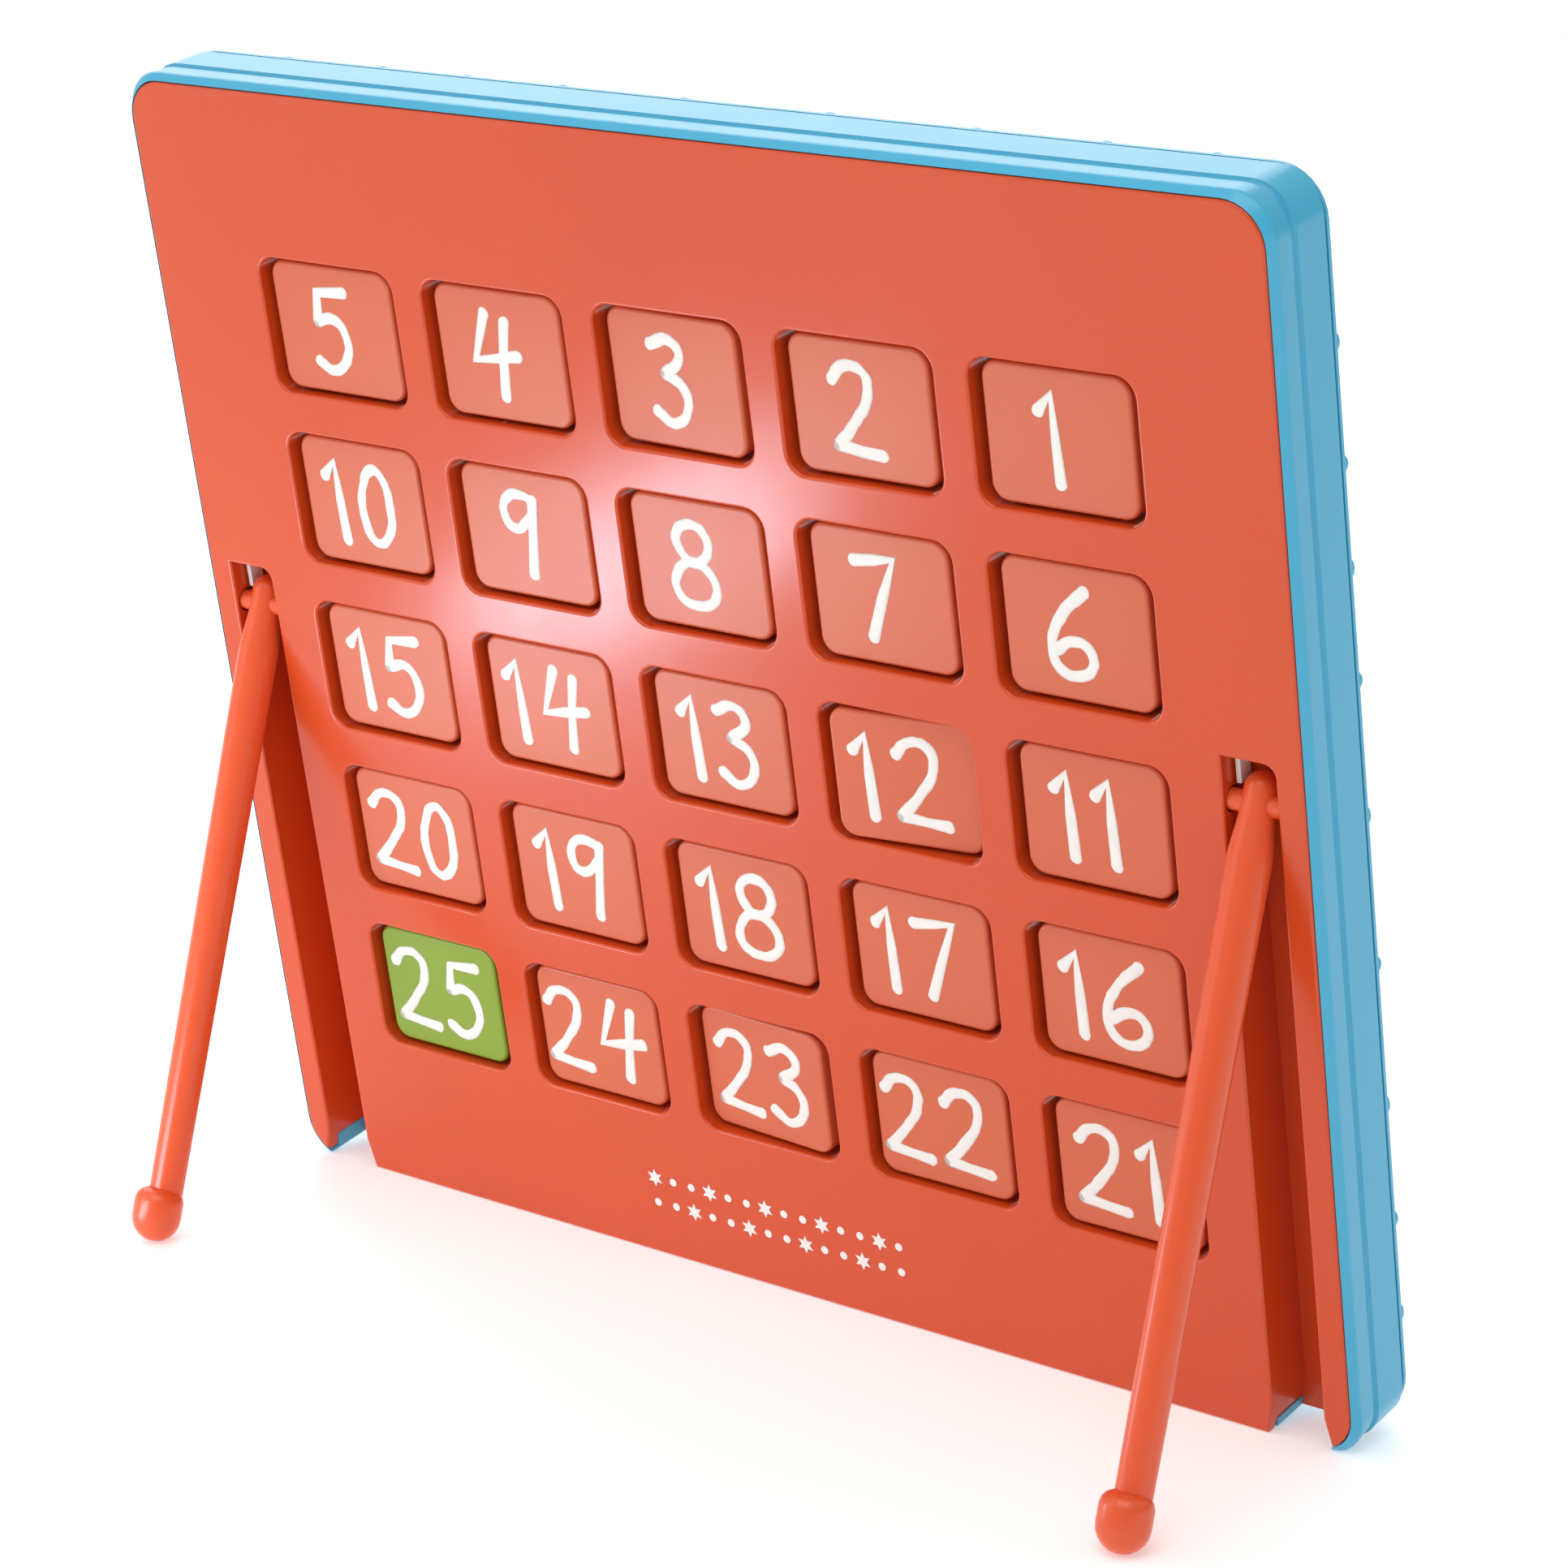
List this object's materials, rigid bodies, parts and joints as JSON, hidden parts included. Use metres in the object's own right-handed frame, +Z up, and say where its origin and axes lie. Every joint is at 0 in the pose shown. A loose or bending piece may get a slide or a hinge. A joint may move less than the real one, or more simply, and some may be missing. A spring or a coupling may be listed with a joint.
{
  "type": "flip-tile countdown calendar",
  "caption": "Free-standing countdown calendar: a leaning panel of numbered flip tiles on vertical pins, propped by two folding legs.",
  "frame": {"origin": "bottom centre of the standing calendar's bounding box", "axes": "+Z up, +X to the right seen from the picture side, -Y out of the picture side, +Y behind the panel where the legs stand"},
  "size_m": [0.1676, 0.0528, 0.1523],
  "materials": {
    "red_plastic": "glossy moulded red-orange plastic",
    "blue_plastic": "glossy moulded light blue plastic",
    "green_plastic": "glossy moulded leaf green plastic",
    "leg_plastic": "satin moulded orange plastic",
    "white_plastic": "matt white plastic",
    "white_print": "white printing ink, slightly raised"
  },
  "bodies": {
    "panel": {"rear_plate": "red_plastic", "side_frame": "blue_plastic", "window_grid": "blue_plastic", "front_panel": "blue_plastic", "leg_keeper_left": "white_plastic", "leg_keeper_right": "white_plastic"},
    "tile_01": {"tile_01": "red_plastic"},
    "tile_02": {"tile_02": "red_plastic"},
    "tile_03": {"tile_03": "red_plastic"},
    "tile_04": {"tile_04": "red_plastic"},
    "tile_05": {"tile_05": "red_plastic"},
    "tile_06": {"tile_06": "red_plastic"},
    "tile_07": {"tile_07": "red_plastic"},
    "tile_08": {"tile_08": "red_plastic"},
    "tile_09": {"tile_09": "red_plastic"},
    "tile_10": {"tile_10": "red_plastic"},
    "tile_11": {"tile_11": "red_plastic"},
    "tile_12": {"tile_12": "red_plastic"},
    "tile_13": {"tile_13": "red_plastic"},
    "tile_14": {"tile_14": "red_plastic"},
    "tile_15": {"tile_15": "red_plastic"},
    "tile_16": {"tile_16": "red_plastic"},
    "tile_17": {"tile_17": "red_plastic"},
    "tile_18": {"tile_18": "red_plastic"},
    "tile_19": {"tile_19": "red_plastic"},
    "tile_20": {"tile_20": "red_plastic"},
    "tile_21": {"tile_21": "red_plastic"},
    "tile_22": {"tile_22": "red_plastic"},
    "tile_23": {"tile_23": "red_plastic"},
    "tile_24": {"tile_24": "red_plastic"},
    "tile_25": {"tile_25": "green_plastic"},
    "leg_left": {"leg_left": "leg_plastic"},
    "leg_right": {"leg_right": "leg_plastic"}
  },
  "joints": [
    {"name": "turn_01", "type": "hinge", "parent": "panel", "child": "tile_01", "pos_m": [-0.054, 0.00387, 0.12079], "axis": [0, 0.1822, 0.9833], "continuous": true},
    {"name": "turn_02", "type": "hinge", "parent": "panel", "child": "tile_02", "pos_m": [-0.027, 0.00387, 0.12079], "axis": [0, 0.1822, 0.9833], "continuous": true},
    {"name": "turn_03", "type": "hinge", "parent": "panel", "child": "tile_03", "pos_m": [0, 0.00387, 0.12079], "axis": [0, 0.1822, 0.9833], "continuous": true},
    {"name": "turn_04", "type": "hinge", "parent": "panel", "child": "tile_04", "pos_m": [0.027, 0.00387, 0.12079], "axis": [0, 0.1822, 0.9833], "continuous": true},
    {"name": "turn_05", "type": "hinge", "parent": "panel", "child": "tile_05", "pos_m": [0.054, 0.00387, 0.12079], "axis": [0, 0.1822, 0.9833], "continuous": true},
    {"name": "turn_06", "type": "hinge", "parent": "panel", "child": "tile_06", "pos_m": [-0.054, -0.00032, 0.09818], "axis": [0, 0.1822, 0.9833], "continuous": true},
    {"name": "turn_07", "type": "hinge", "parent": "panel", "child": "tile_07", "pos_m": [-0.027, -0.00032, 0.09818], "axis": [0, 0.1822, 0.9833], "continuous": true},
    {"name": "turn_08", "type": "hinge", "parent": "panel", "child": "tile_08", "pos_m": [0, -0.00032, 0.09818], "axis": [0, 0.1822, 0.9833], "continuous": true},
    {"name": "turn_09", "type": "hinge", "parent": "panel", "child": "tile_09", "pos_m": [0.027, -0.00032, 0.09818], "axis": [0, 0.1822, 0.9833], "continuous": true},
    {"name": "turn_10", "type": "hinge", "parent": "panel", "child": "tile_10", "pos_m": [0.054, -0.00032, 0.09818], "axis": [0, 0.1822, 0.9833], "continuous": true},
    {"name": "turn_11", "type": "hinge", "parent": "panel", "child": "tile_11", "pos_m": [-0.054, -0.00451, 0.07557], "axis": [0, 0.1822, 0.9833], "continuous": true},
    {"name": "turn_12", "type": "hinge", "parent": "panel", "child": "tile_12", "pos_m": [-0.027, -0.00451, 0.07557], "axis": [0, 0.1822, 0.9833], "continuous": true},
    {"name": "turn_13", "type": "hinge", "parent": "panel", "child": "tile_13", "pos_m": [0, -0.00451, 0.07557], "axis": [0, 0.1822, 0.9833], "continuous": true},
    {"name": "turn_14", "type": "hinge", "parent": "panel", "child": "tile_14", "pos_m": [0.027, -0.00451, 0.07557], "axis": [0, 0.1822, 0.9833], "continuous": true},
    {"name": "turn_15", "type": "hinge", "parent": "panel", "child": "tile_15", "pos_m": [0.054, -0.00451, 0.07557], "axis": [0, 0.1822, 0.9833], "continuous": true},
    {"name": "turn_16", "type": "hinge", "parent": "panel", "child": "tile_16", "pos_m": [-0.054, -0.0087, 0.05295], "axis": [0, 0.1822, 0.9833], "continuous": true},
    {"name": "turn_17", "type": "hinge", "parent": "panel", "child": "tile_17", "pos_m": [-0.027, -0.0087, 0.05295], "axis": [0, 0.1822, 0.9833], "continuous": true},
    {"name": "turn_18", "type": "hinge", "parent": "panel", "child": "tile_18", "pos_m": [0, -0.0087, 0.05295], "axis": [0, 0.1822, 0.9833], "continuous": true},
    {"name": "turn_19", "type": "hinge", "parent": "panel", "child": "tile_19", "pos_m": [0.027, -0.0087, 0.05295], "axis": [0, 0.1822, 0.9833], "continuous": true},
    {"name": "turn_20", "type": "hinge", "parent": "panel", "child": "tile_20", "pos_m": [0.054, -0.0087, 0.05295], "axis": [0, 0.1822, 0.9833], "continuous": true},
    {"name": "turn_21", "type": "hinge", "parent": "panel", "child": "tile_21", "pos_m": [-0.054, -0.0129, 0.03034], "axis": [0, 0.1822, 0.9833], "continuous": true},
    {"name": "turn_22", "type": "hinge", "parent": "panel", "child": "tile_22", "pos_m": [-0.027, -0.0129, 0.03034], "axis": [0, 0.1822, 0.9833], "continuous": true},
    {"name": "turn_23", "type": "hinge", "parent": "panel", "child": "tile_23", "pos_m": [0, -0.0129, 0.03034], "axis": [0, 0.1822, 0.9833], "continuous": true},
    {"name": "turn_24", "type": "hinge", "parent": "panel", "child": "tile_24", "pos_m": [0.027, -0.0129, 0.03034], "axis": [0, 0.1822, 0.9833], "continuous": true},
    {"name": "turn_25", "type": "hinge", "parent": "panel", "child": "tile_25", "pos_m": [0.054, -0.0129, 0.03034], "axis": [0, 0.1822, 0.9833], "continuous": true},
    {"name": "fold_left", "type": "hinge", "parent": "panel", "child": "leg_left", "pos_m": [-0.0758, -0.00078, 0.08088], "axis": [1, 0, 0], "range_deg": [-26.9, 0]},
    {"name": "fold_right", "type": "hinge", "parent": "panel", "child": "leg_right", "pos_m": [0.0758, -0.00078, 0.08088], "axis": [1, 0, 0], "range_deg": [-26.9, 0]}
  ]
}
